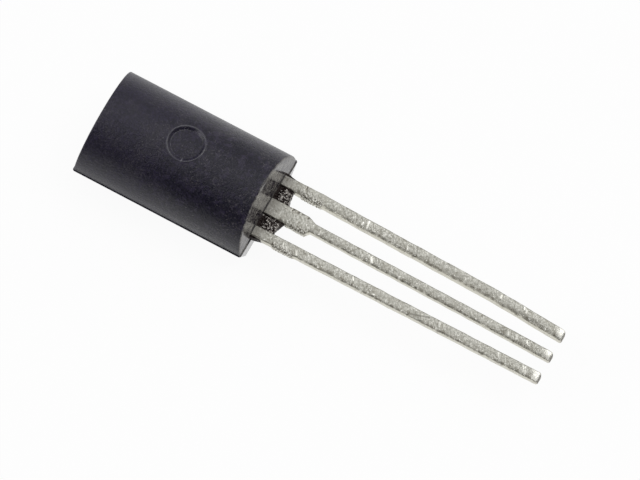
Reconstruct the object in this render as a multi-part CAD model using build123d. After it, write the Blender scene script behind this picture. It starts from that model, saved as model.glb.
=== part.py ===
from build123d import *
import os
from math import radians, sqrt, tan

# Three-lead transistor with a long D-shaped moulded body, lying on its flat face.
# Millimetres and degrees. The origin is the middle of the flat face, +Z points up through the
# round side, and +X runs along the leads towards their tips.

# Moulded body
body_width = 4.94
body_length = 8.05
flat_to_parting = 1.45
side_slope = 22.0
round_end_draft = 6.0
flat_end_draft = 4.5
parting_ledge = 0.04
round_edge_radius = 0.05
flat_edge_radius = 0.08
flat_corner_radius = 0.1

# Ejector-pin mark on the crown of the round side, and the low rim round it
pin_mark_diameter = 1.6
pin_mark_depth = 0.06
pin_rim_width = 0.06
pin_rim_height = 0.02

# Leads outside the body
lead_pitch = 1.27
lead_width = 0.46
lead_thickness = 0.45
lead_length = 13.42
root_width = 0.72
root_taper = 0.35
stamped_edge_radius = 0.05
tip_roll_radius = 0.12
bent_tip_run = 3.3

# Sideways lean of each lead past its root, and of its last stretch, positive towards +Y
emitter_lean = -1.2
emitter_tip_lean = -3.6
collector_lean = -0.7
collector_tip_lean = -1.0
base_lean = 0.2
base_tip_lean = 0.3

# Cut-off stubs of the dam bar that joined the leads while the body was moulded
dam_bar_start = 0.9
dam_bar_width = 0.85
dam_stub_proud = 0.03

# Resin flash left between the leads and beside the outer two
web_height = 0.36
emitter_web_length = 0.58
emitter_web_skew = 0.12
base_web_length = 0.64
base_web_skew = 0.24
flash_fin_length = 0.5
flash_fin_width = 0.09
flash_root = 0.4

# Lead frame inside the body
paddle_end_wall = 0.95
paddle_side_wall = 1.0
paddle_length = 3.2
paddle_corner_radius = 0.2
post_gap = 0.4
post_length = 1.2
post_side_gap = 0.35
post_side_wall = 0.6
post_corner_radius = 0.15

# Chip, its solder and its bond wires
die_side = 1.3
die_thickness = 0.25
solder_thickness = 0.04
solder_margin = 0.08
wire_diameter = 0.08
wire_loop_height = 0.5
wire_bend = 0.2
bond_inset = 0.35
bond_foot_diameter = 0.2
bond_foot_height = 0.05

# Places worked out from the sizes above
round_radius = body_width / 2 - parting_ledge
lead_face = body_length / 2
lead_top = flat_to_parting + lead_thickness
dam_bar_end = lead_face + dam_bar_start + dam_bar_width
tip_x = lead_face + lead_length
bend_x = tip_x - bent_tip_run
paddle_start = -lead_face + paddle_end_wall
paddle_end = paddle_start + paddle_length
paddle_width = body_width - 2 * paddle_side_wall
paddle_middle = (paddle_start + paddle_end) / 2
post_start = paddle_end + post_gap
post_end = post_start + post_length
post_inner = root_width / 2 + post_side_gap
post_outer = round_radius - post_side_wall
solder_side = die_side + 2 * solder_margin
die_bottom = lead_top + solder_thickness
die_top = die_bottom + die_thickness


def moulded_blank():
    """The D-shaped moulding before flash and the parts inside: a half-round bar with drafted ends
    on a tapered block that ends in the flat face. The block stands out by a narrow ledge, where
    the two halves of the mould met."""
    half_round = Plane.YZ * make_face(
        [
            CenterArc((0, flat_to_parting), round_radius, 0, 180),
            Line((-round_radius, flat_to_parting), (round_radius, flat_to_parting)),
        ]
    )
    crown = flat_to_parting + round_radius
    round_end = lead_face - parting_ledge
    crown_end = round_end - round_radius * tan(radians(round_end_draft))
    drafted_side = Plane.XZ * Polygon(
        (-round_end, flat_to_parting),
        (round_end, flat_to_parting),
        (crown_end, crown),
        (-crown_end, crown),
        align=None,
    )
    upper = extrude(half_round, lead_face, both=True) & extrude(drafted_side, body_width, both=True)
    upper = fillet(upper.edges().filter_by(GeomType.ELLIPSE), round_edge_radius)

    flat_length = body_length - 2 * flat_to_parting * tan(radians(flat_end_draft))
    flat_width = body_width - 2 * flat_to_parting * tan(radians(side_slope))
    lower = loft(
        [
            Rectangle(flat_length, flat_width).face(),
            (Pos(0, 0, flat_to_parting) * Rectangle(body_length, body_width)).face(),
        ]
    )
    upright_edges = lower.edges().filter_by(lambda edge: edge.bounding_box().size.Z > flat_to_parting / 2)
    lower = fillet(upright_edges, flat_corner_radius)
    lower = fillet(lower.edges().group_by(Axis.Z)[0], flat_edge_radius)
    return upper + lower


def round_bar(radius):
    """Bar along the body with the axis of the round side."""
    section = Plane.YZ * Pos(0, flat_to_parting) * Circle(radius)
    return extrude(section, lead_face, both=True)


def pin_mark():
    """Shallow round sink of even depth that the ejector pin leaves on the crown."""
    pin = Pos(0, 0, flat_to_parting) * extrude(Circle(pin_mark_diameter / 2), body_width)
    return pin - round_bar(round_radius - pin_mark_depth)


def pin_rim():
    """Low rim of even height that the gap round the ejector pin leaves about its mark. It reaches
    down to the axis, inside the body, so that it joins the round side all the way round."""
    ring = Circle(pin_mark_diameter / 2 + pin_rim_width) - Circle(pin_mark_diameter / 2)
    rim = Pos(0, 0, flat_to_parting) * extrude(ring, body_width)
    return rim & round_bar(round_radius + pin_rim_height)


def flat_piece(outline, bottom, height):
    """An outline seen from above, raised from one height by another."""
    return Pos(0, 0, bottom) * extrude(outline, height)


def box_outline(x_low, x_high, y_low, y_high):
    """Rectangle between four limits."""
    return Polygon((x_low, y_low), (x_high, y_low), (x_high, y_high), (x_low, y_high), align=None)


def strip_outline(stations):
    """Strip through stations of (x, middle y, width)."""
    near_side = [(x, y - width / 2) for x, y, width in stations]
    far_side = [(x, y + width / 2) for x, y, width in reversed(stations)]
    return Polygon(*near_side, *far_side, align=None)


def lead_run(middle_y, inner_x, wide, lean, tip_lean):
    """Outline of one lead: straight from inside the body to the dam bar's cut, then narrowed to
    the lead's own width and leaning, with its last stretch leaning a little more."""
    bend_y = middle_y + (bend_x - dam_bar_end) * tan(radians(lean))
    tip_y = bend_y + bent_tip_run * tan(radians(tip_lean))
    taper_x = dam_bar_end + root_taper
    taper_y = middle_y + root_taper * tan(radians(lean))
    run = strip_outline(
        [
            (inner_x, middle_y, wide),
            (dam_bar_end, middle_y, wide),
            (taper_x, taper_y, lead_width),
            (bend_x, bend_y, lead_width),
            (tip_x, tip_y, lead_width),
        ]
    )
    stub_half = wide / 2 + dam_stub_proud
    stub = box_outline(
        lead_face + dam_bar_start, dam_bar_end, middle_y - stub_half, middle_y + stub_half
    )
    return run + stub


def stamped_lead(outline):
    """An outline stamped from the strip, with the upper edge of the sheared tip rolled over and
    the long edges outside the dam bar's cut rounded."""
    lead = flat_piece(outline, flat_to_parting, lead_thickness)
    tip_edges = lead.faces().sort_by(Axis.X)[-1].edges()
    lead = fillet(tip_edges.sort_by(Axis.Z)[-1], tip_roll_radius)
    long_edges = lead.edges().filter_by(
        lambda edge: edge.center().X > dam_bar_end and edge.bounding_box().size.X > root_taper / 2
    )
    return fillet(long_edges, stamped_edge_radius)


def outer_lead(side, lean, tip_lean):
    """Outer lead on one side (+1 or -1), with its bonding post."""
    post = box_outline(post_start, post_end, post_inner, post_outer)
    post = fillet(post.vertices(), post_corner_radius)
    if side < 0:
        post = mirror(post, about=Plane.XZ)
    run = lead_run(side * lead_pitch, (post_start + post_end) / 2, lead_width, lean, tip_lean)
    return stamped_lead(post + run)


def middle_lead(lean, tip_lean):
    """Middle lead, with the paddle that carries the chip."""
    paddle = Pos(paddle_middle, 0) * RectangleRounded(paddle_length, paddle_width, paddle_corner_radius)
    run = lead_run(0, paddle_middle, root_width, lean, tip_lean)
    return stamped_lead(paddle + run)


def web(side, length, skew):
    """Flash between the middle lead and one outer lead, longer by the skew at the middle lead."""
    inner_y = root_width / 2
    outer_y = lead_pitch - lead_width / 2
    root_x = lead_face - flash_root
    outline = Polygon(
        (root_x, side * inner_y),
        (lead_face + length + skew, side * inner_y),
        (lead_face + length, side * outer_y),
        (root_x, side * outer_y),
        align=None,
    )
    return flat_piece(outline, flat_to_parting, web_height)


def flash_fin(side):
    """Thin flash along the outer side of one outer lead, running out to nothing."""
    inner_y = lead_pitch + lead_width / 2
    root_x = lead_face - flash_root
    outline = Polygon(
        (root_x, side * inner_y),
        (lead_face + flash_fin_length, side * inner_y),
        (lead_face, side * (inner_y + flash_fin_width)),
        (root_x, side * (inner_y + flash_fin_width)),
        align=None,
    )
    return flat_piece(outline, flat_to_parting, web_height)


def bond_foot(x, y, bottom):
    """Flattened end of a bond wire."""
    return Pos(x, y) * flat_piece(Circle(bond_foot_diameter / 2), bottom, bond_foot_height)


def bond_wire(side):
    """Wire that rises from the chip, crosses over and comes down on one bonding post."""
    chip_x = paddle_middle + die_side / 2 - bond_inset
    chip_y = side * (die_side / 2 - bond_inset)
    post_x = (post_start + post_end) / 2
    post_y = side * (post_inner + post_outer) / 2
    span = sqrt((post_x - chip_x) ** 2 + (post_y - chip_y) ** 2)
    upright = Plane(
        origin=(chip_x, chip_y, 0),
        x_dir=(post_x - chip_x, post_y - chip_y, 0),
        z_dir=(post_y - chip_y, chip_x - post_x, 0),
    )
    loop_top = die_top + wire_loop_height
    path = upright * Polyline(
        (0, die_top + bond_foot_height / 2),
        (0, loop_top - wire_bend),
        (wire_bend, loop_top),
        (span - wire_bend, loop_top),
        (span, loop_top - wire_bend),
        (span, lead_top + bond_foot_height / 2),
    )
    section = Plane(origin=path @ 0, z_dir=path % 0) * Circle(wire_diameter / 2)
    wire = sweep(section, path=path, transition=Transition.RIGHT)
    return wire + bond_foot(chip_x, chip_y, die_top) + bond_foot(post_x, post_y, lead_top)


solder = flat_piece(Pos(paddle_middle, 0) * Rectangle(solder_side, solder_side), lead_top, solder_thickness)
die = flat_piece(Pos(paddle_middle, 0) * Rectangle(die_side, die_side), die_bottom, die_thickness)

held_inside = {
    "emitter_lead": outer_lead(1, emitter_lean, emitter_tip_lean),
    "collector_lead": middle_lead(collector_lean, collector_tip_lean),
    "base_lead": outer_lead(-1, base_lean, base_tip_lean),
    "die_attach": solder,
    "silicon_die": die,
    "emitter_bond_wire": bond_wire(1),
    "base_bond_wire": bond_wire(-1),
}

molded_body = moulded_blank() + pin_rim() - pin_mark()
molded_body += web(1, emitter_web_length, emitter_web_skew)
molded_body += web(-1, base_web_length, base_web_skew)
molded_body += [flash_fin(1), flash_fin(-1)]
for piece in held_inside.values():
    molded_body -= piece

os.makedirs("parts", exist_ok=True)
for name, piece in {"molded_body": molded_body, **held_inside}.items():
    export_step(piece, f"parts/{name}.step")
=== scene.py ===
from math import cos, pi, radians, sin, tan

import bmesh
import bpy
import numpy as np
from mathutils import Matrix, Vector


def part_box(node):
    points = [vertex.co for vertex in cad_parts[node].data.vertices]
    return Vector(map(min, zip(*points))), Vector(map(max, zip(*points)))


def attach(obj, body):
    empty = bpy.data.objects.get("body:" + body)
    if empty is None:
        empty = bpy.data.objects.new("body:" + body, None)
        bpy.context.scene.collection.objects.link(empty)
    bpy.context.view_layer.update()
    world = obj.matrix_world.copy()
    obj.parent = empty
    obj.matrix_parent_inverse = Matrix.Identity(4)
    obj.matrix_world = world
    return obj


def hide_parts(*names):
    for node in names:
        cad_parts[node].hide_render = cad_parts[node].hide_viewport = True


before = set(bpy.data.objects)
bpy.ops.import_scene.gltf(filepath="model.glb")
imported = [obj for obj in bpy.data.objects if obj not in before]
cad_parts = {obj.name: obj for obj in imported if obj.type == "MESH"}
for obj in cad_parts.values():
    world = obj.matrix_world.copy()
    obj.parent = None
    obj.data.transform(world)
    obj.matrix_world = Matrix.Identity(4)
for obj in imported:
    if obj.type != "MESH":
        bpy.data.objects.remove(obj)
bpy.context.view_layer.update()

# Leads
# Three flat strips, stamped side by side from one sheet of copper alloy and dipped in tin.
# The middle one carries the chip on a paddle inside the body; the outer two end in bonding posts.
# The bar that tied them while the body was moulded was cut out, and handling bent and scuffed them.
MM = 0.001
body_low, body_high = (np.array(corner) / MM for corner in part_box("molded_body"))
paddle_corner, lead_corner = (np.array(corner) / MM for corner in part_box("collector_lead"))
post_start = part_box("emitter_lead")[0].x / MM
lead_face = -body_low[0]
parting = paddle_corner[2]
lead_top = lead_corner[2]
tip_x = lead_corner[0]

lead_pitch = 1.27
root_width = 0.72
bent_tip_run = 3.3
held_run = 0.1
dam_bar_start = 0.9
dam_bar_width = 0.85
dam_stub_proud = 0.03
far_stub_share = 0.3
stub_rise = 0.06
stub_fall_start = 0.1
stub_fall_end = 0.2
near_taper = np.array([0.12, 0.28])
far_taper = np.array([-0.05, 0.35])
paddle_length = 3.2
paddle_radius = 0.2
post_length = 1.2
post_radius = 0.15
post_side_gap = 0.35
post_side_wall = 0.6
parting_ledge = 0.04
round_end_draft = 6.0
near_edge_radius = 0.08
far_edge_radius = 0.05
under_edge_radius = 0.05
tip_roll_length = 0.40
tip_roll_depth = 0.13
tip_corner = 0.10

round_radius = body_high[1] - parting_ledge
dam_start_x = lead_face + dam_bar_start
dam_end_x = dam_start_x + dam_bar_width
bend_x = tip_x - bent_tip_run

# Steps of the leads' grids along x, and points round a section: each corner, top, side and bottom.
fine_start_x = lead_face - 0.2
inner_step = 0.06
tab_step = 0.001
outer_step = 0.018
tip_roll_rows = 18
lead_columns = (7, 16, 7, 6)
lead_end_rings = 5
bend_ease = np.linspace(-0.5, 0.5, 9)


def smooth_step(low, high, value):
    """Rises from 0 to 1 between two limits along 3t^2 - 2t^3."""
    t = np.clip((value - low) / (high - low), 0, 1)
    return t * t * (3 - 2 * t)


def plane_waves(x, y, seed, count, short, long, height):
    """Unevenness: a sum of sine waves of seeded directions, phases and lengths between two limits."""
    rng = np.random.default_rng(seed)
    turn = rng.uniform(0, 2 * pi, count)
    wave = 2 * pi / rng.uniform(short, long, count)
    phase = rng.uniform(0, 2 * pi, count)
    along = x[..., None] * (wave * np.cos(turn)) + y[..., None] * (wave * np.sin(turn))
    return height * np.sin(along + phase).mean(-1) * np.sqrt(count)


def ring_section(y_low, y_high, z_low, z_high, radii, counts):
    """Rounded rectangles, one a row: a quarter circle of its own radius at each corner, in the order
    far top, near top, near bottom, far bottom, and straight runs between them. Gives y, z and the
    angle that each column faces, from 0 towards +y to 90 degrees up."""
    arc_count, top_count, side_count, bottom_count = counts
    run_counts = (top_count, side_count, bottom_count, side_count)
    corners = (
        (y_high, z_high, -1, -1),
        (y_low, z_high, 1, -1),
        (y_low, z_low, 1, 1),
        (y_high, z_low, -1, 1),
    )
    arcs = []
    for turn, ((edge_y, edge_z, in_y, in_z), radius) in enumerate(zip(corners, radii)):
        angle = turn * pi / 2 + np.linspace(0, pi / 2, arc_count)
        arc_y = edge_y + in_y * radius + radius * np.cos(angle)
        arc_z = edge_z + in_z * radius + radius * np.sin(angle)
        arcs.append((arc_y, arc_z, angle))
    y, z, facing = [], [], []
    for turn, run_count in enumerate(run_counts):
        arc_y, arc_z, angle = arcs[turn]
        next_y, next_z, _ = arcs[(turn + 1) % 4]
        share = np.linspace(0, 1, run_count + 2)[1:-1]
        y += [arc_y, arc_y[:, -1:] * (1 - share) + next_y[:, :1] * share]
        z += [arc_z, arc_z[:, -1:] * (1 - share) + next_z[:, :1] * share]
        facing += [angle, np.full(run_count, angle[-1])]
    return np.hstack(y), np.hstack(z), np.concatenate(facing)


def with_ends(points, ring_count):
    """Closes a tube of rings: each end ring shrinks in even steps to its own middle."""
    share = np.linspace(0, 1, ring_count + 1)[:-1, None, None]
    first, last = points[0], points[-1]
    first_middle, last_middle = first.mean(0), last.mean(0)
    start = first_middle + share * (first - first_middle)
    end = last_middle + share[::-1] * (last - last_middle)
    return np.concatenate([start, points, end])


def grid_faces(rows, columns):
    """Quads between neighbouring rows of a grid whose columns run round and join."""
    row, column = np.meshgrid(np.arange(rows - 1), np.arange(columns), indexing="ij")
    after = (column + 1) % columns
    this_row = row * columns
    next_row = (row + 1) * columns
    corners = [this_row + column, this_row + after, next_row + after, next_row + column]
    return np.stack(corners, -1).reshape(-1, 4)


def add_piece(name, grids, finish, crease, marks):
    """One mesh of closed grids in millimetres, whose layers after x, y and z become the named marks.
    Double points at the poles are merged, faces turned outwards, and edges that turn by more than
    the crease angle stay sharp. It rides on the part."""
    layers, faces, offset = [], [], 0
    for grid in grids:
        rows, columns, depth = grid.shape
        layers.append(grid.reshape(-1, depth))
        faces.append(grid_faces(rows, columns) + offset)
        offset += rows * columns
    layers = np.concatenate(layers)
    mesh = bpy.data.meshes.new(name)
    mesh.from_pydata(layers[:, :3] * MM, [], np.concatenate(faces))
    for mark, values in zip(marks, layers[:, 3:].T):
        mesh.attributes.new(mark, "FLOAT", "POINT").data.foreach_set("value", values.astype(np.float32))
    shell = bmesh.new()
    shell.from_mesh(mesh)
    bmesh.ops.remove_doubles(shell, verts=shell.verts, dist=1e-8)
    bmesh.ops.recalc_face_normals(shell, faces=shell.faces)
    shell.to_mesh(mesh)
    shell.free()
    mesh.polygons.foreach_set("use_smooth", np.ones(len(mesh.polygons), bool))
    mesh.set_sharp_from_angle(angle=radians(crease))
    mesh.materials.append(finish)
    piece = bpy.data.objects.new(name, mesh)
    bpy.context.scene.collection.objects.link(piece)
    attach(piece, "root")
    return piece


def tab_inset(x, start, length, radius):
    """How far the side of a stamped tab stands back near its ends: a quarter circle at each corner."""
    from_end = np.clip(np.minimum(x - start, start + length - x), 0, radius)
    return radius - np.sqrt(radius ** 2 - (radius - from_end) ** 2)


def lead_line(x, middle, lean, tip_lean):
    """Middle line of a lead seen from above: straight to the cut of the dam bar, then two leaning
    stretches, each corner eased by averaging the line over a millimetre."""
    bend_y = middle + (bend_x - dam_end_x) * tan(radians(lean))
    end_y = bend_y + bent_tip_run * tan(radians(tip_lean))
    shifted = x[:, None] + bend_ease
    ahead = end_y + (shifted - tip_x) * tan(radians(tip_lean))
    line = np.interp(shifted, [dam_end_x, bend_x, tip_x], [middle, bend_y, end_y])
    return np.where(shifted > tip_x, ahead, line).mean(1)


full_nick = 0.012
nick_fade = (0.6, 1.0)


def nick_marks(x, across, nicks):
    """Scratches across the top: each lies along a slanting line, with a bell profile across it and soft
    ends. A nick is its place, offset, reach, slant and width, then its height: a raised one is bare and
    bright, a sunk one is dirty. Gives the height, the gleam and the dirt."""
    height, gleam, dirt = np.zeros((3, *x.shape))
    for place, offset, reach, slant, width, rise in nicks:
        aside = across - offset
        along = x - place - slant * aside
        bell = np.exp(-((along / width) ** 2)) * (1 - smooth_step(*nick_fade, np.abs(aside) / reach))
        height += rise * bell
        gleam += max(rise, 0) / full_nick * bell
        dirt += max(-rise, 0) / full_nick * bell
    return height, gleam, dirt


def lead_rows(tab_start, tab_end):
    """Where a lead's rows stand along x: wide steps inside the body, a sudden one at the end of the tab,
    fine steps outside, and ever closer ones towards the end of the rolled tip."""
    inside = np.arange(tab_start, fine_start_x, inner_step)
    sudden = [tab_end, tab_end + tab_step]
    outside = np.arange(fine_start_x, tip_x - tip_roll_length, outer_step)
    roll = tip_x - tip_roll_length * (1 - np.sin(np.linspace(0, pi / 2, tip_roll_rows)))
    return np.unique(np.concatenate([inside, sudden, outside, roll]).round(6))


# Waves on a lead: how many, the shortest and the longest in millimetres, and their height.
wander_waves = (9, 0.4, 2.4, 0.005)
wear_waves = (16, 0.15, 0.9, 1.0)
uneven_waves = (14, 0.3, 1.2, 0.0015)
lump_waves = (24, 0.1, 0.35, 0.002)
torn_waves = (24, 0.07, 0.2, 0.009)
sparkle_waves = (24, 0.06, 0.16, 1.0)
crumb_waves = (24, 0.08, 0.2, 1.0)

# Wear of a lead: shares of the near edge's radius, reaches of the edges in millimetres, and limits.
mean_wear = 0.85
wear_swing = 0.25
least_wear = 0.35
most_wear = 1.3
held_wear = 0.4
near_edge_reach = 0.15
far_edge_reach = 0.05
near_rim_reach = 0.2
tip_highlight_start = 0.5
tip_highlight_full = 0.15
tip_highlight_slant = 0.5
sparkle_limits = (0.2, 0.7)
crumb_limits = (-0.2, 0.4)
flank_limits = (0.7, 0.97)


def lead_grid(middle, root_edges, run_edges, leans, roll_turn, crown, tab, seed, nicks):
    """A lead as a rounded strip carried along x: the tab inside the body, the straight root with the torn
    stubs of the dam bar, and the leaning run, rolled over at its sheared tip. Outside the body its sides
    lean by the roll's angle, and its top falls by the crown's height times the square of the distance
    from the crown's line, in half widths. Its marks are the nearness of a worn edge, the gleam of bare
    metal and of a painted highlight on the rolled tip, dirt, and the flanks that the punch sheared, which
    are painted paler as a painted reflection of the white floor."""
    tab_start, tab_length, tab_radius, tab_low, tab_high = tab
    tab_end = tab_start + tab_length
    crown_height, crown_line = crown
    x = lead_rows(tab_start, tab_end)
    in_tab = x < tab_end + tab_step / 2
    inset = tab_inset(x, tab_start, tab_length, tab_radius)
    line = lead_line(x, middle, *leans)
    near_off = np.interp(x, dam_end_x + near_taper, [root_edges[0], run_edges[0]])
    far_off = np.interp(x, dam_end_x + far_taper, [root_edges[1], run_edges[1]])
    stub_starts = smooth_step(dam_start_x, dam_start_x + stub_rise, x)
    stub_ends = smooth_step(dam_end_x + stub_fall_end, dam_end_x + stub_fall_start, x)
    in_dam = stub_starts * stub_ends
    to_tip = np.clip(1 - (tip_x - x) / tip_roll_length, 0, 1)
    to_corner = np.clip(1 - (tip_x - x) / tip_corner, 0, 1)
    corner = tip_corner * (1 - np.sqrt(1 - to_corner ** 2))
    free = smooth_step(lead_face + held_run, dam_start_x, x)
    wander = plane_waves(x, 0 * x, seed, *wander_waves) * free
    near_side = line + near_off - dam_stub_proud * in_dam + corner + wander
    far_side = line + far_off + far_stub_share * dam_stub_proud * in_dam - corner + wander
    low = np.where(in_tab, tab_low + inset, near_side)[:, None]
    high = np.where(in_tab, tab_high - inset, far_side)[:, None]
    top = (lead_top - tip_roll_depth * (1 - np.sqrt(1 - to_tip ** 2)))[:, None]
    worn = mean_wear + wear_swing * plane_waves(x, 0 * x, seed + 1, *wear_waves)
    worn = np.clip(worn, least_wear, most_wear)
    near_radius = near_edge_radius * (held_wear + (worn - held_wear) * free)
    x, in_dam, free = x[:, None], in_dam[:, None], free[:, None]
    under_radius = under_edge_radius + 0 * x
    radii = [far_edge_radius + 0 * x, near_radius[:, None], under_radius, under_radius]
    y, z, facing = ring_section(low, high, 0 * x + parting, top, radii, lead_columns)

    x = np.broadcast_to(x, y.shape)
    upward = np.clip(np.sin(facing), 0, 1)
    nearward = np.clip(-np.cos(facing), 0, 1)
    across = y - (low + high) / 2
    share = across / ((high - low) / 2)
    from_near = np.hypot(y - low, z - top)
    from_far = np.hypot(y - high, z - top)
    near_edge = np.exp(-(from_near / near_edge_reach) ** 2)
    far_edge = np.exp(-(from_far / far_edge_reach) ** 2)
    near_rim = np.exp(-(from_near / near_rim_reach) ** 2)
    torn_zone = in_dam * np.maximum(nearward, near_rim)
    dent, gleam, dirt = nick_marks(x, across, nicks)
    uneven = plane_waves(x, y + z, seed + 2, *uneven_waves)
    lumps = plane_waves(x, y + z, seed + 3, *lump_waves) * near_edge
    torn = plane_waves(x, y + z, seed + 4, *torn_waves) * torn_zone
    sparkle = smooth_step(*sparkle_limits, plane_waves(x, y + z, seed + 5, *sparkle_waves)) * torn_zone
    crumbled = smooth_step(*crumb_limits, plane_waves(x, y + z, seed + 6, *crumb_waves)) * torn_zone
    # Painted highlight: the top of the rolled tip is painted near white.
    highlight_place = x + tip_highlight_slant * across
    tip_highlight = smooth_step(tip_x - tip_highlight_start, tip_x - tip_highlight_full, highlight_place) * upward ** 2
    edge = np.clip(near_edge + 0.6 * far_edge, 0, 1) * (0.5 + 0.5 * free) + 0.6 * torn_zone
    gleam = np.clip(gleam * upward + 1.2 * sparkle + 0.62 * tip_highlight, 0, 1)
    dirt = np.clip(dirt * upward + crumbled, 0, 1)
    flank = np.broadcast_to(smooth_step(*flank_limits, np.abs(np.cos(facing))), y.shape)
    lift = (uneven + lumps + (dent - crown_height * (crown_line - share) ** 2) * upward) * free + torn
    rolled = (z - lead_top) * tan(radians(roll_turn)) * free
    place = [x, y + lift * np.cos(facing) + rolled, z + lift * np.sin(facing)]
    return with_ends(np.stack([*place, edge, gleam, dirt, flank], -1), lead_end_rings)


class Shade:
    """A shader socket. Arithmetic on it adds Math nodes, and node() adds any other node."""

    def __init__(self, tree, socket=None):
        self.tree = tree
        self.socket = socket

    def node(self, kind, settings, inputs, output=0):
        """Adds a node of a type: its settings first, then the value or link of each socket."""
        made = self.tree.nodes.new(kind)
        for name, value in settings.items():
            setattr(made, name, value)
        for name, value in inputs.items():
            if isinstance(value, Shade):
                self.tree.links.new(value.socket, made.inputs[name])
            else:
                made.inputs[name].default_value = value
        return Shade(self.tree, made.outputs[output] if made.outputs else None)

    def math(self, operation, first, second):
        return self.node("ShaderNodeMath", {"operation": operation}, {0: first, 1: second})

    def __add__(self, other):
        return self.math("ADD", self, other)

    def __sub__(self, other):
        return self.math("SUBTRACT", self, other)

    def __rsub__(self, other):
        return self.math("SUBTRACT", other, self)

    def __mul__(self, other):
        return self.math("MULTIPLY", self, other)

    __radd__ = __add__
    __rmul__ = __mul__

    def rise(self, low, high):
        """0 below one limit, 1 above the other, smooth between; the limits may be in falling order."""
        limits = {"Value": self, "From Min": low, "From Max": high}
        return self.node("ShaderNodeMapRange", {"interpolation_type": "SMOOTHSTEP"}, limits)

    def noise(self, scale, detail=2.0, roughness=0.5):
        """Noise over a place in millimetres, of so many features a millimetre."""
        inputs = {"Vector": self, "Scale": scale, "Detail": detail, "Roughness": roughness}
        return self.node("ShaderNodeTexNoise", {}, inputs)

    def stretched(self, x, y, z):
        """A place with each axis scaled, so that a pattern on it runs long where the scale is small."""
        return self.node("ShaderNodeVectorMath", {"operation": "MULTIPLY"}, {0: self, 1: (x, y, z)})

    def turned(self, angle):
        """A place turned about the vertical axis."""
        inputs = {"Vector": self, "Angle": angle}
        return self.node("ShaderNodeVectorRotate", {"rotation_type": "Z_AXIS"}, inputs)

    def axis(self, name):
        return self.node("ShaderNodeSeparateXYZ", {}, {"Vector": self}, name)

    def mark(self, name):
        """One of the marks that a piece's mesh carries."""
        return self.node("ShaderNodeAttribute", {"attribute_name": name}, {}, "Fac")

    def blend(self, first, second):
        """The first colour where this is 0 and the second where it is 1."""
        return self.node("ShaderNodeMix", {"data_type": "RGBA"}, {0: self, 6: first, 7: second}, 2)

    def bump(self, strength, depth):
        """Bump normal of a height, with the depth of a full step in millimetres."""
        inputs = {"Height": self, "Strength": strength, "Distance": depth * MM}
        return self.node("ShaderNodeBump", {}, inputs)


def new_finish(name):
    """A material with an empty tree, and places on the part in millimetres."""
    material = bpy.data.materials.new(name)
    material.use_nodes = True
    material.node_tree.nodes.clear()
    start = Shade(material.node_tree)
    place = start.node("ShaderNodeTexCoord", {}, {}, "Object")
    inputs = {0: place, "Scale": 1 / MM}
    return material, place.node("ShaderNodeVectorMath", {"operation": "SCALE"}, inputs)


def set_surface(place, **sockets):
    """Ends a tree in a Principled surface, with spaces for the underscores of the socket names."""
    inputs = {name.replace("_", " "): value for name, value in sockets.items()}
    surface = place.node("ShaderNodeBsdfPrincipled", {}, inputs)
    place.node("ShaderNodeOutputMaterial", {}, {"Surface": surface})


tin_dark = (0.295, 0.285, 0.243, 1)
tin_pale = (0.73, 0.725, 0.67, 1)
tin_dull = (0.40, 0.385, 0.33, 1)
flank_reflection_tin = (0.72, 0.70, 0.61, 1)
root_shade = (0.16, 0.15, 0.14, 1)
edge_shade = (0.22, 0.205, 0.165, 1)
tarnish_brown = (0.15, 0.132, 0.10, 1)
dirt_brown = (0.10, 0.086, 0.065, 1)
bare_metal_and_highlight = (0.97, 0.96, 0.90, 1)
cut_metal = (0.13, 0.115, 0.09, 1)
dark_root_band = (0.02, 0.017, 0.017, 1)
handled_start = lead_face + 0.3
root_shade_limits = (lead_face + 0.85, lead_face - 0.1)
body_face_limits = (lead_face + 0.015, lead_face - 0.02)
cut_limits = (tip_x - 0.03, tip_x - 0.008)
scratch_turn = radians(50.0)

tin, place = new_finish("scuffed_tin")
x = place.axis("X")
z = place.axis("Z")
edge = place.mark("edge")
flank = place.mark("flank")
grain = place.noise(9.0, 4.0, 0.65)
fine_grain = place.noise(24.0, 2.0, 0.6)
scratch = place.turned(scratch_turn).stretched(4.0, 26.0, 10.0).noise(1.0, 3.0, 0.6)
smudge = place.noise(1.6, 4.0, 0.6)
blotch = place.noise(5.5, 4.0, 0.6)
fleck = place.noise(13.0, 2.0, 0.5)
handled = x.rise(handled_start, dam_start_x)
# Painted shade: the leads are painted darker close to the body, which shades them.
near_body = x.rise(*root_shade_limits)
sheared = x.rise(*cut_limits)
# A thin dark band, not metal, where each lead enters the body.
at_body_face = (x + (z - parting) * tan(radians(round_end_draft))).rise(*body_face_limits)
mottled = (grain * 0.4 + fine_grain * 0.25 + scratch * 0.35).rise(0.37, 0.63)
plating = (0.5 + (mottled - 0.5) * (0.75 + 0.25 * handled)).blend(tin_dark, tin_pale)
dull = (smudge.rise(0.45, 0.68) * 0.45).blend(plating, tin_dull)
# The flanks are painted paler: partly the sheared side, partly a painted reflection of the white floor.
flank_reflected = (flank * 0.8).blend(dull, flank_reflection_tin)
root_shaded = (near_body * 0.6).blend(flank_reflected, root_shade)
# Painted shade: the top is painted darker towards its edges, most of all the worn near edge.
shaded = (edge * 0.18 * (1.0 - flank)).blend(root_shaded, edge_shade)
tarnish = (blotch + 0.14 * edge).rise(0.56, 0.76)
tarnished = (tarnish * 0.62).blend(shaded, tarnish_brown)
dirty = (place.mark("dirt") * 0.85).blend(tarnished, dirt_brown)
flecked = (fleck + 0.03 * edge).rise(0.65, 0.70) * 0.8 * handled
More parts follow.
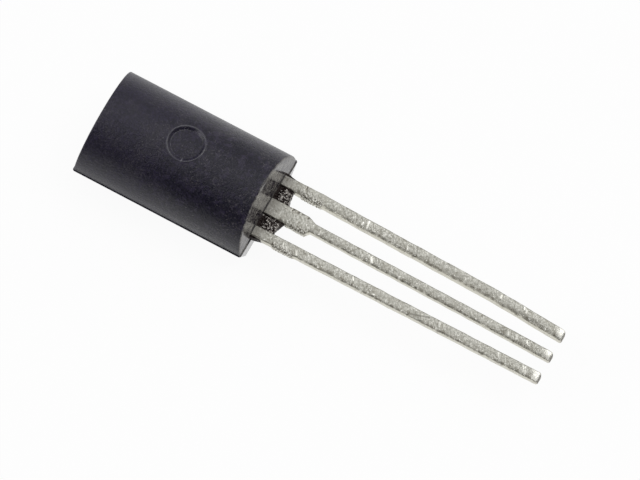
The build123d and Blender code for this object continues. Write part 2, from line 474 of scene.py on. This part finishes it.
# Near white where metal is bare from nicks and flecks, and on the painted highlight of the rolled tip.
bare = flecked.math("MAXIMUM", flecked, place.mark("gleam") * (0.75 + 0.25 * scratch.rise(0.4, 0.6)))
scraped_and_lit = bare.blend(dirty, bare_metal_and_highlight)
ended = (sheared * 0.85).blend(scraped_and_lit, cut_metal)
set_surface(
    place,
    Base_Color=(at_body_face * 0.9).blend(ended, dark_root_band),
    Metallic=1.0 - at_body_face,
    Roughness=0.27 + 0.14 * grain + 0.1 * smudge + 0.2 * edge,
    Normal=(grain * 0.5 + fine_grain * 0.35 + scratch * 0.45).bump(1.0, 0.014),
)

emitter_nicks = [
    (5.03, 0.18, 0.10, 0.0, 0.055, -0.012),
    (5.09, 0.03, 0.08, 0.0, 0.04, -0.009),
    (7.33, -0.02, 0.08, -0.4, 0.025, 0.006),
    (7.81, -0.06, 0.10, -0.2, 0.03, 0.012),
    (8.03, 0.00, 0.22, -0.23, 0.03, 0.014),
    (8.80, -0.04, 0.12, -0.3, 0.035, 0.005),
    (8.88, -0.04, 0.08, -0.3, 0.025, 0.006),
    (9.95, -0.06, 0.12, -0.4, 0.022, 0.010),
    (11.80, 0.03, 0.05, -0.3, 0.03, 0.006),
    (12.66, 0.13, 0.05, 3.0, 0.05, 0.008),
    (14.37, 0.05, 0.11, -0.2, 0.04, 0.012),
    (15.20, 0.21, 0.05, 0.0, 0.05, 0.010),
    (15.45, 0.16, 0.12, -0.5, 0.03, 0.013),
    (15.60, 0.06, 0.10, -0.5, 0.03, 0.010),
    (15.90, -0.14, 0.07, 0.0, 0.7, -0.006),
]
collector_nicks = [
    (4.42, -0.05, 0.14, 0.3, 0.07, -0.004),
    (5.00, 0.34, 0.11, 0.4, 0.05, -0.012),
    (5.25, 0.35, 0.11, 0.4, 0.05, -0.012),
    (5.42, 0.36, 0.09, 0.4, 0.04, -0.010),
    (5.73, 0.35, 0.10, 0.3, 0.06, -0.012),
    (6.46, -0.04, 0.12, -0.3, 0.025, 0.007),
    (6.55, -0.06, 0.08, -0.3, 0.02, 0.006),
    (8.48, -0.05, 0.08, -0.4, 0.03, 0.009),
    (8.60, 0.14, 0.04, 0.0, 0.03, 0.010),
    (8.70, 0.11, 0.05, 0.0, 0.03, 0.011),
    (8.90, -0.02, 0.18, -0.58, 0.04, 0.015),
    (10.28, -0.09, 0.06, -0.2, 0.04, 0.011),
    (15.07, 0.10, 0.10, 1.0, 0.05, -0.008),
    (15.22, 0.02, 0.10, 1.0, 0.05, -0.007),
    (15.40, -0.02, 0.12, -0.5, 0.03, 0.008),
    (15.77, 0.03, 0.12, -0.4, 0.05, 0.005),
    (16.26, 0.04, 0.12, -0.6, 0.025, 0.012),
]
base_nicks = [
    (4.57, -0.20, 0.06, 0.0, 0.06, 0.010),
    (5.37, 0.00, 0.10, -0.5, 0.025, 0.007),
    (5.57, -0.06, 0.14, -0.5, 0.03, 0.007),
    (5.77, -0.20, 0.06, 0.0, 0.06, 0.010),
    (6.03, -0.06, 0.14, -0.5, 0.03, 0.009),
    (8.63, 0.10, 0.12, -0.6, 0.022, 0.011),
    (9.72, -0.12, 0.05, 0.0, 0.06, 0.012),
    (11.85, 0.00, 0.20, 2.9, 0.09, -0.007),
    (12.73, 0.05, 0.12, -0.5, 0.025, 0.006),
    (15.47, 0.08, 0.12, -0.5, 0.025, 0.007),
    (16.66, 0.02, 0.18, -0.5, 0.025, 0.008),
    (16.76, 0.02, 0.18, -0.5, 0.022, 0.008),
]

post_inner = root_width / 2 + post_side_gap
post_outer = round_radius - post_side_wall
post_tab = (post_start, post_length, post_radius)
paddle_half = -paddle_corner[1]
lead_grids = {
    "emitter_lead": lead_grid(
        middle=lead_pitch,
        root_edges=(-0.20, 0.28),
        run_edges=(-0.195, 0.28),
        leans=(-1.2, -3.6),
        roll_turn=3.2,
        crown=(0.0165, 0.7),
        tab=(*post_tab, post_inner, post_outer),
        seed=11,
        nicks=emitter_nicks,
    ),
    "collector_lead": lead_grid(
        middle=0.0,
        root_edges=(-0.36, 0.40),
        run_edges=(-0.175, 0.245),
        leans=(-0.7, -1.0),
        roll_turn=-2.5,
        crown=(0.0155, 0.7),
        tab=(paddle_corner[0], paddle_length, paddle_radius, -paddle_half, paddle_half),
        seed=21,
        nicks=collector_nicks,
    ),
    "base_lead": lead_grid(
        middle=-lead_pitch,
        root_edges=(-0.19, 0.28),
        run_edges=(-0.172, 0.285),
        leans=(0.2, 0.3),
        roll_turn=-1.5,
        crown=(0.0067, 1.3),
        tab=(*post_tab, -post_outer, -post_inner),
        seed=31,
        nicks=base_nicks,
    ),
}
lead_marks = ("edge", "gleam", "dirt", "flank")
lead_crease = 40
for node, grid in lead_grids.items():
    name = node.replace("lead", "tinned_lead")
    lead = add_piece(name, [grid], tin, lead_crease, lead_marks)
    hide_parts(node)

# Chip and its solder
# A square of silicon, sawn from a wafer and soldered to the paddle; the resin hides both.
# Its top has a thin aluminium ring and pad, and its sawn sides and the solder are dull.
ring_outer = 0.5
ring_inner = 0.4
pad_half = 0.3
metal_edge = 0.01
silicon_grey = (0.12, 0.125, 0.14, 1)
aluminium = (0.75, 0.75, 0.74, 1)
solder_dark = (0.46, 0.46, 0.45, 1)
solder_pale = (0.62, 0.62, 0.61, 1)


def dress(node, finish):
    """Gives a piece of the frame that keeps its own shape its finish."""
    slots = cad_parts[node].data.materials
    slots.clear()
    slots.append(finish)


die_low, die_high = (np.array(corner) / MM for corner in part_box("silicon_die"))
die_x, die_y, _ = (die_low + die_high) / 2
upper_face_limits = (die_high[2] - 0.004, die_high[2] - 0.002)
silicon, place = new_finish("sawn_silicon")
off_x = place.axis("X") - die_x
off_y = place.axis("Y") - die_y
aside_x = off_x.math("ABSOLUTE", off_x, 0.0)
aside_y = off_y.math("ABSOLUTE", off_y, 0.0)
from_middle = aside_x.math("MAXIMUM", aside_x, aside_y)
upper_face = place.axis("Z").rise(*upper_face_limits)
within_ring = from_middle.rise(ring_outer, ring_outer - metal_edge)
past_gap = from_middle.rise(ring_inner, ring_inner + metal_edge)
on_pad = from_middle.rise(pad_half, pad_half - metal_edge)
metal = (within_ring * past_gap + on_pad) * upper_face
saw_lines = place.stretched(1.0, 1.0, 0.1).noise(40.0, 2.0)
set_surface(
    place,
    Base_Color=metal.blend(silicon_grey, aluminium),
    Metallic=metal * 0.95,
    Roughness=0.25 + 0.3 * saw_lines * (1.0 - upper_face),
    Normal=(saw_lines * (1.0 - upper_face)).bump(0.6, 0.004),
)
dress("silicon_die", silicon)

solder, place = new_finish("dull_solder")
crystals = place.noise(14.0, 3.0, 0.6)
set_surface(
    place,
    Base_Color=crystals.rise(0.35, 0.65).blend(solder_dark, solder_pale),
    Metallic=1.0,
    Roughness=0.38 + 0.25 * crystals,
    Normal=crystals.bump(0.8, 0.006),
)
dress("die_attach", solder)

# Bond wires
# Two fine gold wires, drawn through a die, join the chip to the bonding posts inside the resin.
# Drawing left their skin finely uneven, and the bonding tool pressed their ends on.
gold_deep = (0.86, 0.60, 0.20, 1)
gold_pale = (0.95, 0.72, 0.32, 1)
gold, place = new_finish("drawn_gold")
draw_marks = place.noise(30.0, 2.0)
set_surface(
    place,
    Base_Color=draw_marks.rise(0.3, 0.7).blend(gold_deep, gold_pale),
    Metallic=1.0,
    Roughness=0.2 + 0.2 * draw_marks,
    Normal=draw_marks.bump(0.4, 0.002),
)
for node in ("emitter_bond_wire", "base_bond_wire"):
    dress(node, gold)

# Moulded body
# Black epoxy filled with silica, pressed round the lead frame between two halves of a mould.
# The round half stands back a little from the flat half, which leaves a ledge at the parting line,
# and the ejector pin leaves a shallow round sink with a raised rim on the crown.
side_slope = 22.0
flat_end_draft = 4.5
round_edge_radius = 0.05
upright_corner_radius = 0.1
flat_edge_radius = 0.08
pin_x = 0.035
pin_y = 0.14
pin_radius = 0.8
pin_wall = 0.15
pin_depth = 0.10
rim_width = 0.025
rim_height = 0.02
rim_offset = 0.01
burr_turn = -1.33
burr_width = 0.03
burr_length = 0.09
burr_inset = 0.04
burr_height = 0.03
crown_half = 1.1
crown_fade_half = 1.3

# Points of the body's grid: closer together over the crown, as far as the fine reach each way.
fine_reach = 1.05
fine_count = 131
coarse_columns = 40
coarse_rows = 34
side_columns = 10
flat_columns = 26
edge_count = 6
cap_rings = 15


def body_profile():
    """Section of the body from the far ledge over the round half and back under the flat half: half a
    circle, then on each side the ledge, the sloping side and the small arc into the flat face.
    Gives y, z, the angle in which an end edge is rounded, that rounding's radius, and which half."""
    fine = np.arcsin(fine_reach / round_radius)
    coarse_turn = np.linspace(0, pi / 2 - fine, coarse_columns)[:-1]
    fine_turn = np.linspace(pi / 2 - fine, pi / 2 + fine, fine_count)
    round_turn = np.concatenate([coarse_turn, fine_turn, pi - coarse_turn[::-1]])
    slope = radians(side_slope)
    flat_half = body_high[1] - parting * tan(slope)
    back = flat_edge_radius * tan((pi / 2 - slope) / 2)
    arc = np.linspace(slope, pi / 2, edge_count)
    arc_y = flat_half - back + flat_edge_radius * np.cos(arc)
    arc_z = flat_edge_radius - flat_edge_radius * np.sin(arc)
    arc_radius = np.linspace(upright_corner_radius, flat_edge_radius, edge_count)
    side_share = np.linspace(0, 1, side_columns)[:-1]
    side_y = body_high[1] + side_share * (arc_y[0] - body_high[1])
    side_z = parting + side_share * (arc_z[0] - parting)
    half_y = np.concatenate([side_y, arc_y])
    half_z = np.concatenate([side_z, arc_z])
    half_turn = np.concatenate([0 * side_y, np.linspace(0, pi / 2, edge_count)])
    half_radius = np.concatenate([0 * side_y + upright_corner_radius, arc_radius])
    round_rounding = 0 * round_turn + round_edge_radius
    flat_y = np.linspace(-arc_y[-1], arc_y[-1], flat_columns)[1:-1]
    flat_rounding = 0 * flat_y + flat_edge_radius
    y = np.concatenate([round_radius * np.cos(round_turn), -half_y, flat_y, half_y[::-1]])
    z = np.concatenate([parting + round_radius * np.sin(round_turn), half_z, 0 * flat_y, half_z[::-1]])
    turn = np.concatenate([round_turn, pi + half_turn, 0 * flat_y + 1.5 * pi, -half_turn[::-1]])
    radius = np.concatenate([round_rounding, half_radius, flat_rounding, half_radius[::-1]])
    upper = np.arange(len(y)) < len(round_turn)
    return y, z, turn, radius, upper


def end_reach(z, upper):
    """How far the body reaches along x at a height: both halves draw in away from the parting line."""
    round_reach = lead_face - parting_ledge - (z - parting) * tan(radians(round_end_draft))
    flat_reach = lead_face - (parting - z) * tan(radians(flat_end_draft))
    return np.where(upper, round_reach, flat_reach)


def pin_mark(x, y):
    """The ejector-pin mark: an even sink with a sloping wall, and a thin rim round it, painted paler, that
    is broken by one burr. Gives its height, the paler tone of the rim, and the polish of the wall."""
    out = np.hypot(x - pin_x, y - pin_y)
    turn = np.arctan2(y - pin_y, x - pin_x)
    level = smooth_step(pin_radius - pin_wall, pin_radius, out)
    uneven = 0.8 + 0.2 * np.sin(3 * turn + 0.6) * np.sin(turn - 1.0)
    rim = uneven * np.exp(-(((out - pin_radius - rim_offset) / rim_width) ** 2))
    aside = np.angle(np.exp(1j * (turn - burr_turn))) * pin_radius
    inward = out - pin_radius + burr_inset
    burr = np.exp(-((aside / burr_width) ** 2) - (inward / burr_length) ** 2)
    height = rim_height * rim + burr_height * burr - pin_depth * (1 - level)
    return height, np.clip(0.7 * rim + 1.2 * burr, 0, 1), 4 * level * (1 - level)


def body_grid():
    """The body as one grid: columns follow the section, and rows run from the middle of one end face
    out to its rounded edge, along the length and back in on the other end."""
    y, z, turn, radius, upper = body_profile()
    inner_y = y - radius * np.cos(turn)
    inner_z = z - radius * np.sin(turn)
    inner_z = np.where(upper, np.maximum(inner_z, parting), np.minimum(inner_z, parting))
    share = np.linspace(0, 1, cap_rings)[:, None]
    cap_y = share * inner_y
    cap_z = parting + share * (inner_z - parting)
    cap = np.stack([end_reach(cap_z, upper), cap_y, cap_z], -1)
    roll = np.linspace(0, pi / 2, edge_count)[1:, None]
    roll_y = inner_y + np.sin(roll) * (y - inner_y)
    roll_z = inner_z + np.sin(roll) * (z - inner_z)
    edge = np.stack([end_reach(roll_z, upper) - radius * (1 - np.cos(roll)), roll_y, roll_z], -1)
    reach = end_reach(z, upper) - radius
    fine_share = fine_reach / lead_face
    coarse = np.linspace(1, fine_share, coarse_rows)[1:-1]
    fine = np.linspace(fine_share, -fine_share, fine_count)
    along = np.concatenate([coarse, fine, -coarse[::-1]])[:, None]
    length_x = along * reach
    length_y = np.broadcast_to(y, length_x.shape)
    on_crown = upper * smooth_step(crown_fade_half, crown_half, np.abs(length_y))
    lift, rim_tone, wall = (mark * on_crown for mark in pin_mark(length_x, length_y))
    length = np.stack([length_x, y + lift * np.cos(turn), z + lift * np.sin(turn)], -1)
    far_end = np.concatenate([edge[::-1], cap[::-1]]) * [-1, 1, 1]
    points = np.concatenate([cap, edge, length, far_end])
    marks = np.zeros((*points.shape[:2], 2))
    marks[len(cap) + len(edge):-len(far_end)] = np.stack([rim_tone, wall], -1)
    return np.concatenate([points, marks], -1)


resin_dark = (0.0012, 0.0001, 0.0085, 1)
resin_pale = (0.0150, 0.0105, 0.0335, 1)
haze_grey = (0.0155, 0.0130, 0.0220, 1)
rubbed_grey = (0.0260, 0.0205, 0.037, 1)
dark_patch = (0.0008, 0.0001, 0.0095, 1)
pale_patch = (0.030, 0.0235, 0.050, 1)
scuff_grey = (0.062, 0.055, 0.066, 1)
dust_grey = (0.16, 0.155, 0.155, 1)
rim_grey = (0.125, 0.122, 0.14, 1)
sheen_dark = (0.032, 0.026, 0.036, 1)
sheen_pale = (0.250, 0.236, 0.216, 1)
lead_half_limits = (-1.5, 2.0)
parting_limits = (parting - 0.002, parting + 0.002)
end_face_limits = (0.06, 0.01)

epoxy, place = new_finish("satin_epoxy")
x = place.axis("X")
z = place.axis("Z")
above = z.rise(*parting_limits)
round_back = parting_ledge + (z - parting) * tan(radians(round_end_draft))
flat_back = (parting - z) * tan(radians(flat_end_draft))
to_end = lead_face - above * round_back - (1.0 - above) * flat_back - x
end_face = to_end.rise(*end_face_limits)
lead_half = x.rise(*lead_half_limits)
mottle = place.noise(1.1, 5.0, 0.6)
patch = place.noise(2.6, 4.0, 0.65)
pores = place.noise(8.0, 3.0, 0.75)
polish = place.noise(30.0, 2.0)
rubbed = place.stretched(1.0, 0.3, 0.3).noise(4.0, 4.0, 0.7)
scuff = place.noise(11.0, 3.0, 0.7).rise(0.56, 0.64) * place.noise(0.55, 3.0, 0.6).rise(0.43, 0.58)
dust = place.noise(17.0, 1.0, 0.4).rise(0.71, 0.76) * place.noise(0.9, 2.0).rise(0.45, 0.65)
# Painted reflection: the end faces are painted pale grey for the bright surroundings they reflect at a
# grazing angle.
end_face_sheen = place.noise(5.0, 4.0, 0.65).rise(0.35, 0.65).blend(sheen_dark, sheen_pale)
pitted = (pores.rise(0.38, 0.64) - 0.5 - 0.35 * lead_half) * (0.75 + 0.85 * lead_half)
resin = (0.5 + pitted).blend(resin_dark, resin_pale)
hazy = (mottle.rise(0.45, 0.7) * (0.6 - 0.45 * lead_half)).blend(resin, haze_grey)
worn_resin = (rubbed.rise(0.54, 0.74) * 0.45).blend(hazy, rubbed_grey)
darkened = (patch.rise(0.49, 0.37) * (0.4 + 0.5 * lead_half)).blend(worn_resin, dark_patch)
patchy = (patch.rise(0.52, 0.64) * (0.15 + 0.45 * lead_half)).blend(darkened, pale_patch)
scuffed = (scuff * (0.5 + 0.5 * lead_half)).blend(patchy, scuff_grey)
dusty = (dust * (0.4 + 0.5 * lead_half)).blend(scuffed, dust_grey)
rimmed = (place.mark("rim_tone") * 0.85).blend(dusty, rim_grey)
satin = 0.27 - 0.08 * lead_half + 0.12 * pores + 0.08 * mottle
end_gloss = 1.0 - 0.6 * end_face
wall_gloss = 1.0 - 0.6 * place.mark("wall")
set_surface(
    place,
    Base_Color=(end_face * 0.8).blend(rimmed, end_face_sheen),
    Roughness=satin * end_gloss * wall_gloss,
    IOR=1.48,
    Normal=((pores * 0.7 + polish * 0.3) * (1.0 - 0.85 * end_face)).bump(0.9, 0.03),
)
body_crease = 35
body = add_piece("epoxy_body", [body_grid()], epoxy, body_crease, ("rim_tone", "wall"))
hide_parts("molded_body")

# Resin flash
# Resin that was squeezed past the mould's edge: a web between the middle lead and each outer lead,
# and a thin fin along the outer side of both outer leads. It broke when the leads were cut free,
# so its faces are rough and glassy, with grains of the silica filler showing. The grains are painted
# pale, partly for the filler and partly as painted glints on the broken faces.
web_inner_y = root_width / 2 - 0.02
web_outer_y = lead_pitch - 0.19
web_height = 0.36
web_tilt = 0.55
far_fin_y = lead_pitch + 0.26
near_fin_y = -lead_pitch - 0.17
far_fin_height = 0.44
near_fin_droop = 0.05
fin_end = lead_face + 0.5
fin_width = 0.1
fin_tilt = 0.2
steep_tilt = 0.3
flash_root = 0.4
flash_edge = 0.015
grain_size = 0.075
grain_rise = 0.036
deepest_break = -0.14
highest_break = 0.06
break_limits = (lead_face - 0.12, lead_face + 0.05)
rubble_limits = (lead_face + 0.02, lead_face + 0.18)
rubble_margin = 0.25
ragged_depth = 0.03
ragged_waves = (10, 0.08, 0.3, 1.0)
flash_rows = 56
flash_columns = (3, 40, 18, 18)
flash_end_rings = 8


def broken_heights(x, y, seed, tilt):
    """A broken surface: each point lies on the tilted plane of the seeded point nearest to it."""
    rng = np.random.default_rng(seed)
    span_x, span_y = np.ptp(x), np.ptp(y)
    count = int(span_x * span_y / grain_size ** 2) + 2
    grain_x = x.min() + rng.uniform(0, 1, count) * span_x
    grain_y = y.min() + rng.uniform(0, 1, count) * span_y
    off_x = x[..., None] - grain_x
    off_y = y[..., None] - grain_y
    nearest = np.argmin(off_x ** 2 + off_y ** 2, -1)[..., None]
    lean_x, lean_y = rng.normal(0, tilt, (2, count))
    plane = rng.normal(0, grain_rise * tilt, count) + off_x * lean_x + off_y * lean_y
    return np.take_along_axis(plane, nearest, -1)[..., 0]


def flash_grid(inner_y, outer_y, inner_end, outer_end, height, droop, tilt, seed):
    """A bar of flash from inside the body outwards, cut off along the line between two end points, with
    broken planes of a tilt on its top. The top falls by the droop from its inner to its outer side. Its
    mark is the rubble in the middle of a steeply broken top."""
    rows = np.linspace(0, 1, flash_rows)[:, None]
    low, high = min(inner_y, outer_y), max(inner_y, outer_y)
    level = [np.full_like(rows, value) for value in (low, high, parting, parting + height)]
    radii = [np.full_like(rows, flash_edge)] * 4
    y, z, facing = ring_section(*level, radii, flash_columns)
    toward_outer = np.clip((y - inner_y) / (outer_y - inner_y), 0, 1)
    end = inner_end + (outer_end - inner_end) * toward_outer
    ragged = ragged_depth * plane_waves(y, z, seed + 1, *ragged_waves)
    root = lead_face - flash_root
    x = root + rows * (end - root + ragged)
    z = z - droop * toward_outer * (z - parting) / height
    upward = np.clip(np.sin(facing), 0, 1) * smooth_step(*break_limits, x)
    broken = np.clip(broken_heights(x, y, seed, tilt), deepest_break, highest_break)
    off_inner = smooth_step(0.0, rubble_margin, toward_outer)
    off_outer = smooth_step(1.0, 1.0 - rubble_margin, toward_outer)
    rubble = off_inner * off_outer * smooth_step(*rubble_limits, x) * (tilt > steep_tilt)
    return with_ends(np.stack([x, y, z + broken * upward, rubble], -1), flash_end_rings)


broken_brown = (0.023, 0.0125, 0.0115, 1)
filler_and_glint_pale = (0.85, 0.81, 0.76, 1)
glassy, place = new_finish("broken_epoxy")
grain_cell = place.node("ShaderNodeTexVoronoi", {}, {"Vector": place, "Scale": 15.0}, "Color")
grain_kind = grain_cell.axis("X")
crumbs = place.noise(22.0, 3.0, 0.7)
rubble = place.mark("rubble")
# Pale specks: exposed filler grains, and painted glints where the top is steeply broken.
filler_and_glint = (grain_kind + 0.42 * rubble).rise(0.95, 1.0)
set_surface(
    place,
    Base_Color=(filler_and_glint * crumbs.rise(0.32, 0.58)).blend(broken_brown, filler_and_glint_pale),
    Roughness=0.65 - 0.45 * rubble + 0.15 * crumbs,
    IOR=1.52,
    Normal=crumbs.bump(0.9, 0.02),
)
far_web = flash_grid(
    inner_y=web_inner_y,
    outer_y=web_outer_y,
    inner_end=lead_face + 0.70,
    outer_end=lead_face + 0.58,
    height=web_height,
    droop=0.0,
    tilt=web_tilt,
    seed=41,
)
near_web = flash_grid(
    inner_y=-web_inner_y,
    outer_y=-web_outer_y,
    inner_end=lead_face + 0.88,
    outer_end=lead_face + 0.64,
    height=web_height,
    droop=0.0,
    tilt=web_tilt,
    seed=43,
)
far_fin = flash_grid(
    inner_y=far_fin_y,
    outer_y=far_fin_y + fin_width,
    inner_end=fin_end,
    outer_end=lead_face,
    height=far_fin_height,
    droop=0.0,
    tilt=fin_tilt,
    seed=45,
)
near_fin = flash_grid(
    inner_y=near_fin_y,
    outer_y=near_fin_y - fin_width,
    inner_end=fin_end,
    outer_end=lead_face,
    height=web_height,
    droop=near_fin_droop,
    tilt=fin_tilt,
    seed=47,
)
flash_grids = [far_web, near_web, far_fin, near_fin]
flash_crease = 12
add_piece("resin_flash", flash_grids, glassy, flash_crease, ("rubble",))

# Floor
# A plain sheet of white board, large enough to fill every view. It shows white, and the part's
# shadow stays on it as a faint tone.
floor_half = 1500.0
floor_drop = -0.01
shown_share = 0.94
board_grey = (0.90, 0.90, 0.90, 1)
board_pale = (0.92, 0.92, 0.92, 1)
board, place = new_finish("white_board")
camera_ray = place.node("ShaderNodeLightPath", {}, {}, "Is Camera Ray")
glossy_ray = place.node("ShaderNodeLightPath", {}, {}, "Is Glossy Ray")
clear_ray = place.node("ShaderNodeLightPath", {}, {}, "Is Transmission Ray")
shown = camera_ray.math("MINIMUM", camera_ray + glossy_ray + clear_ray, 1.0)
fibre = place.noise(2.0, 3.0).rise(0.3, 0.7).blend(board_grey, board_pale)
paper = place.node("ShaderNodeBsdfDiffuse", {}, {"Color": fibre})
white = place.node("ShaderNodeEmission", {}, {"Color": (1, 1, 1, 1), "Strength": 1.0})
surface = place.node("ShaderNodeMixShader", {}, {0: shown * shown_share, 1: paper, 2: white})
place.node("ShaderNodeOutputMaterial", {}, {"Surface": surface})
floor_mesh = bpy.data.meshes.new("floor")
floor_corners = np.array([[-1, -1, 0], [1, -1, 0], [1, 1, 0], [-1, 1, 0]]) * floor_half
floor_mesh.from_pydata((floor_corners + [0, 0, floor_drop]) * MM, [], [(0, 1, 2, 3)])
floor_mesh.materials.append(board)
floor = bpy.data.objects.new("floor", floor_mesh)
bpy.context.scene.collection.objects.link(floor)

# Camera
# A long lens from above and a little to the near side, as in the photograph. Its place and its focal
# length were fitted to the edges of the body and the leads there.
image_width = 640
focal_pixels = 6381.0
camera_elevation = radians(70.33)
camera_turn = radians(29.06)
camera_distance = 267.0
look_at = np.array([6.28, 0.30, 0.0])
right = np.array([cos(camera_turn), sin(camera_turn), 0.0])
away = np.array([-sin(camera_turn), cos(camera_turn), 0.0])
up = np.array([0.0, 0.0, 1.0])
towards_camera = sin(camera_elevation) * up - cos(camera_elevation) * away
lens = bpy.data.cameras.new("camera")
lens.sensor_width = 36.0
lens.lens = focal_pixels * lens.sensor_width / image_width
camera = bpy.data.objects.new("camera", lens)
bpy.context.scene.collection.objects.link(camera)
camera.location = (look_at + camera_distance * towards_camera) * MM
camera.rotation_euler = (pi / 2 - camera_elevation, 0.0, camera_turn)
bpy.context.scene.camera = camera

# Light
# A soft white tent, brightest high on the far side and dim on the camera's side, and two large soft
# lamps, one high on the right and one on the left.
world = bpy.data.worlds.new("tent")
world.use_nodes = True
world.node_tree.nodes.clear()
sky = Shade(world.node_tree)
direction = sky.node("ShaderNodeTexCoord", {}, {}, "Generated")
farness = direction.node(
    "ShaderNodeVectorMath", {"operation": "DOT_PRODUCT"}, {0: direction, 1: tuple(away)}, "Value"
)
tent = 0.12 + 0.72 * farness.rise(-0.5, 0.45) - 0.30 * farness.rise(0.55, 0.85)
backdrop = sky.node("ShaderNodeBackground", {}, {"Color": (1, 1, 1, 1), "Strength": tent})
sky.node("ShaderNodeOutputWorld", {}, {"Surface": backdrop})
bpy.context.scene.world = world

# Each lamp's direction from the part, its width in millimetres and its power in watts.
lamp_distance = 900.0
soft_lamps = {
    "right_lamp": (0.52 * right + 0.12 * away + 0.85 * up, 560.0, 2.2),
    "left_lamp": (-0.75 * right + 0.10 * away + 0.65 * up, 800.0, 2.3),
}
for name, (lamp_from, width, power) in soft_lamps.items():
    lamp_from = lamp_from / np.linalg.norm(lamp_from)
    lamp_data = bpy.data.lights.new(name, "AREA")
    lamp_data.shape = "DISK"
    lamp_data.size = width * MM
    lamp_data.energy = power
    lamp = bpy.data.objects.new(name, lamp_data)
    bpy.context.scene.collection.objects.link(lamp)
    lamp.location = (look_at + lamp_distance * lamp_from) * MM
    lamp.rotation_euler = Vector(lamp_from).to_track_quat("Z", "Y").to_euler()
    lamp.visible_camera = False

bpy.context.scene.view_settings.view_transform = "Standard"
